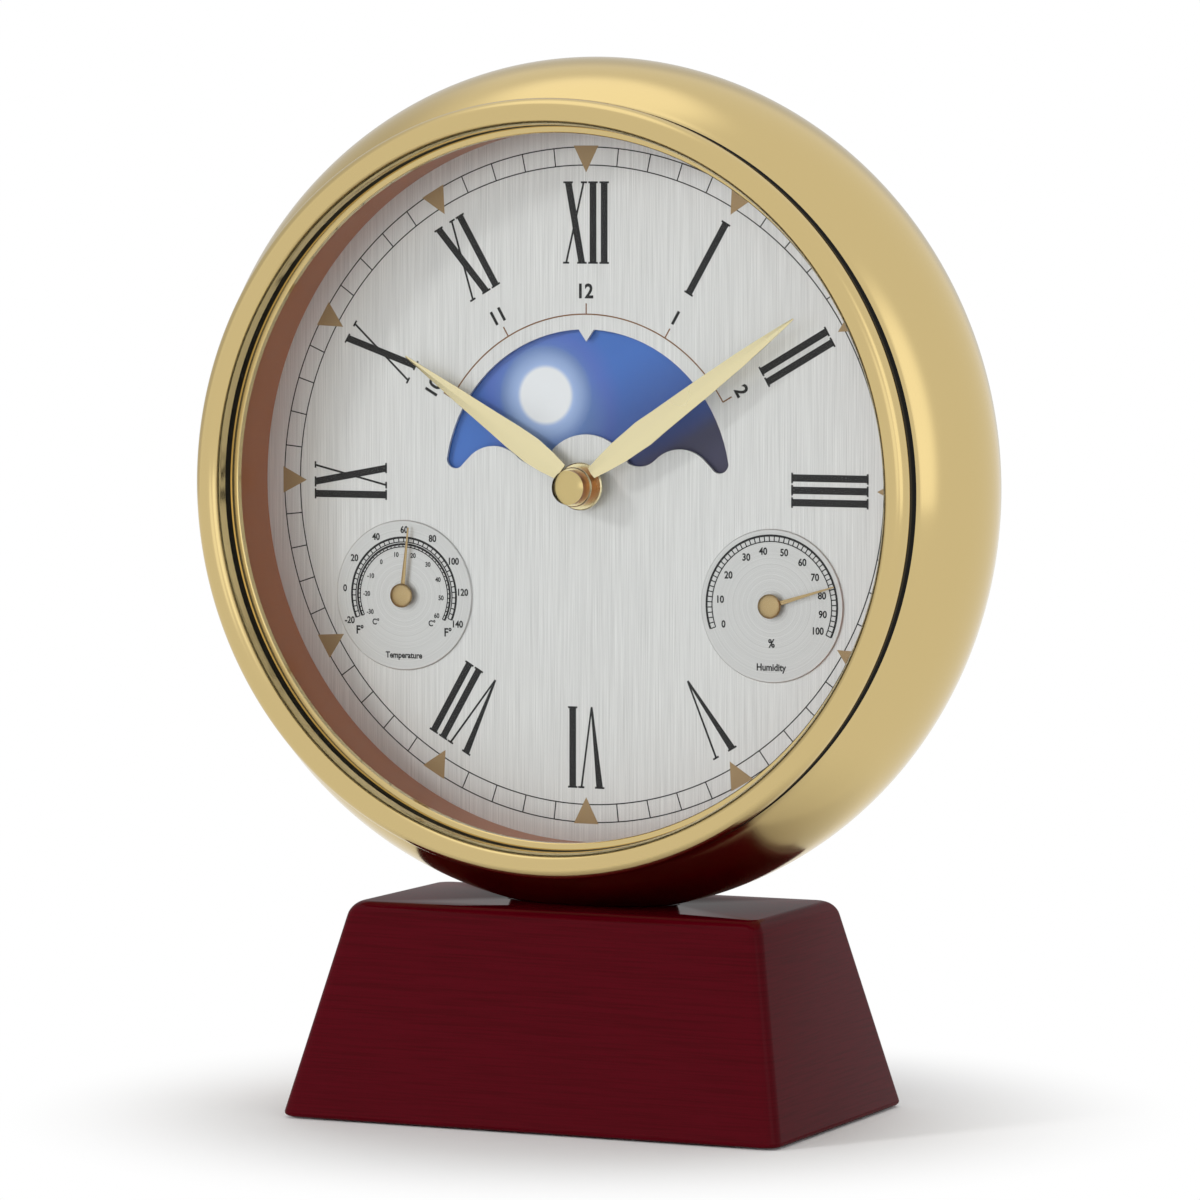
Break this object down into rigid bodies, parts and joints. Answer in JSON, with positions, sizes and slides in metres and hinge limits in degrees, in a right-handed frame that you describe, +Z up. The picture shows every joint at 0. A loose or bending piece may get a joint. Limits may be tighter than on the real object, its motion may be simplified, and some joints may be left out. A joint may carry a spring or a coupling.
{
  "type": "moon phase desk clock",
  "caption": "Barrel-shaped gold desk clock on a tapered wooden base, with a day and night disc behind the dial, a thermometer and a hygrometer",
  "frame": {"origin": "centre of the underside of the felt, on the table", "axes": "+Z up, the dial looks along -Y, +X to the right seen from the front"},
  "size_m": [0.19, 0.0744, 0.2355],
  "materials": {
    "base_block": "high-gloss red lacquer over horizontal grain",
    "base_felt": "dark felt",
    "base_screws": "zinc plated",
    "mount_saddle": "plain",
    "case_shell": "polished and lacquered gold tone",
    "bezel_ring": "polished and lacquered gold tone",
    "lens_glass": "clear",
    "spacer_ring": "brown",
    "dial_plate": "brushed vertically, silvered",
    "dial_support": "moulded",
    "retaining_ring": "moulded",
    "movement_case_front": "moulded",
    "movement_case_rear": "moulded",
    "movement_screws": "zinc plated",
    "mid_plate": "moulded",
    "train_bridge": "moulded",
    "stator_plate": "stamped",
    "coil_core": "stamped",
    "drive_coil": "enamelled copper wire",
    "circuit_board": "green board",
    "quartz_crystal": "metal can",
    "rotor": "magnet on a plastic pinion",
    "step_wheel": "moulded",
    "seconds_wheel": "moulded",
    "third_wheel": "moulded",
    "center_wheel": "moulded",
    "minute_arbor": "turned",
    "minute_wheel": "moulded",
    "hour_wheel": "moulded",
    "moon_idler": "moulded",
    "moon_wheel": "moulded",
    "moon_disc": "printed day and night sky",
    "set_knob": "moulded",
    "hour_hand": "pale gold",
    "minute_hand": "pale gold",
    "hand_cap": "polished",
    "battery": "plain sleeve",
    "battery_contacts": "nickel plated",
    "rear_cover": "black",
    "cover_screws": "zinc plated",
    "thermometer_dial": "printed scale",
    "thermometer_cup": "stamped",
    "thermometer_coil": "sensing strip",
    "thermometer_arbor": "turned",
    "thermometer_pointer": "pale gold",
    "thermometer_cap": "polished",
    "hygrometer_dial": "printed scale",
    "hygrometer_cup": "stamped",
    "hygrometer_coil": "sensing strip",
    "hygrometer_arbor": "turned",
    "hygrometer_pointer": "pale gold",
    "hygrometer_cap": "polished"
  },
  "bodies": {
    "root": {"base_block": "base_block", "base_felt": "base_felt", "base_screws": "base_screws", "mount_saddle": "mount_saddle", "case_shell": "case_shell", "bezel_ring": "bezel_ring", "lens_glass": "lens_glass", "spacer_ring": "spacer_ring", "dial_plate": "dial_plate", "dial_support": "dial_support", "retaining_ring": "retaining_ring", "movement_case_front": "movement_case_front", "movement_case_rear": "movement_case_rear", "movement_screws": "movement_screws", "mid_plate": "mid_plate", "train_bridge": "train_bridge", "stator_plate": "stator_plate", "coil_core": "coil_core", "drive_coil": "drive_coil", "circuit_board": "circuit_board", "quartz_crystal": "quartz_crystal", "battery_contacts": "battery_contacts", "rear_cover": "rear_cover", "cover_screws": "cover_screws", "thermometer_dial": "thermometer_dial", "thermometer_cup": "thermometer_cup", "thermometer_coil": "thermometer_coil", "hygrometer_dial": "hygrometer_dial", "hygrometer_cup": "hygrometer_cup", "hygrometer_coil": "hygrometer_coil"},
    "minute_train": {"minute_hand": "minute_hand", "hand_cap": "hand_cap", "minute_arbor": "minute_arbor"},
    "hour_train": {"hour_hand": "hour_hand", "hour_wheel": "hour_wheel"},
    "moon_train": {"moon_disc": "moon_disc", "moon_wheel": "moon_wheel"},
    "minute_wheel": {"minute_wheel": "minute_wheel"},
    "moon_idler": {"moon_idler": "moon_idler"},
    "set_knob": {"set_knob": "set_knob"},
    "center_wheel": {"center_wheel": "center_wheel"},
    "third_wheel": {"third_wheel": "third_wheel"},
    "seconds_wheel": {"seconds_wheel": "seconds_wheel"},
    "step_wheel": {"step_wheel": "step_wheel"},
    "rotor": {"rotor": "rotor"},
    "thermometer_needle": {"thermometer_arbor": "thermometer_arbor", "thermometer_pointer": "thermometer_pointer", "thermometer_cap": "thermometer_cap"},
    "hygrometer_needle": {"hygrometer_arbor": "hygrometer_arbor", "hygrometer_pointer": "hygrometer_pointer", "hygrometer_cap": "hygrometer_cap"},
    "battery": {"battery": "battery"}
  },
  "joints": [
    {"name": "minute_spin", "type": "hinge", "parent": "root", "child": "minute_train", "pos_m": [0, 0, 0.1405], "axis": [0, 1, 0], "continuous": true},
    {"name": "hour_spin", "type": "hinge", "parent": "root", "child": "hour_train", "pos_m": [0, 0, 0.1405], "axis": [0, 1, 0], "continuous": true},
    {"name": "moon_spin", "type": "hinge", "parent": "root", "child": "moon_train", "pos_m": [0, 0, 0.1405], "axis": [0, 1, 0], "continuous": true},
    {"name": "minute_wheel_spin", "type": "hinge", "parent": "root", "child": "minute_wheel", "pos_m": [-0.01, 0, 0.1405], "axis": [0, 1, 0], "continuous": true},
    {"name": "moon_idler_spin", "type": "hinge", "parent": "root", "child": "moon_idler", "pos_m": [0.0072, 0, 0.1405], "axis": [0, 1, 0], "continuous": true},
    {"name": "set_knob_spin", "type": "hinge", "parent": "root", "child": "set_knob", "pos_m": [-0.0194, 0, 0.13708], "axis": [0, 1, 0], "continuous": true},
    {"name": "rotor_spin", "type": "hinge", "parent": "root", "child": "rotor", "pos_m": [0.00758, 0, 0.15348], "axis": [0, 1, 0], "continuous": true},
    {"name": "step_wheel_spin", "type": "hinge", "parent": "root", "child": "step_wheel", "pos_m": [0.00082, 0, 0.15595], "axis": [0, 1, 0], "continuous": true},
    {"name": "seconds_wheel_spin", "type": "hinge", "parent": "root", "child": "seconds_wheel", "pos_m": [-0.00758, 0, 0.15595], "axis": [0, 1, 0], "continuous": true},
    {"name": "third_wheel_spin", "type": "hinge", "parent": "root", "child": "third_wheel", "pos_m": [-0.00935, 0, 0.1459], "axis": [0, 1, 0], "continuous": true},
    {"name": "center_wheel_spin", "type": "hinge", "parent": "root", "child": "center_wheel", "pos_m": [0, 0, 0.1405], "axis": [0, 1, 0], "continuous": true},
    {"name": "thermometer_turn", "type": "hinge", "parent": "root", "child": "thermometer_needle", "pos_m": [-0.0448, 0, 0.115], "axis": [0, 1, 0], "range_deg": [-119.5, 107.5], "stiffness_Nm_per_rad": 0.002},
    {"name": "hygrometer_turn", "type": "hinge", "parent": "root", "child": "hygrometer_needle", "pos_m": [0.0448, 0, 0.115], "axis": [0, 1, 0], "range_deg": [-183, 42], "stiffness_Nm_per_rad": 0.002},
    {"name": "battery_slide", "type": "slide", "parent": "root", "child": "battery", "axis": [0, 1, 0], "range_m": [0, 0.03]}
  ],
  "couplings": [
    {"joint": "hour_spin", "follows": "minute_spin", "ratio": 0.083333},
    {"joint": "moon_spin", "follows": "minute_spin", "ratio": 0.041667},
    {"joint": "minute_wheel_spin", "follows": "minute_spin", "ratio": -0.33333},
    {"joint": "moon_idler_spin", "follows": "minute_spin", "ratio": -0.083333},
    {"joint": "set_knob_spin", "follows": "minute_spin", "ratio": 1},
    {"joint": "step_wheel_spin", "follows": "rotor_spin", "ratio": -0.2},
    {"joint": "seconds_wheel_spin", "follows": "rotor_spin", "ratio": 0.033333},
    {"joint": "third_wheel_spin", "follows": "rotor_spin", "ratio": -0.0044444},
    {"joint": "center_wheel_spin", "follows": "rotor_spin", "ratio": 0.00055556}
  ]
}
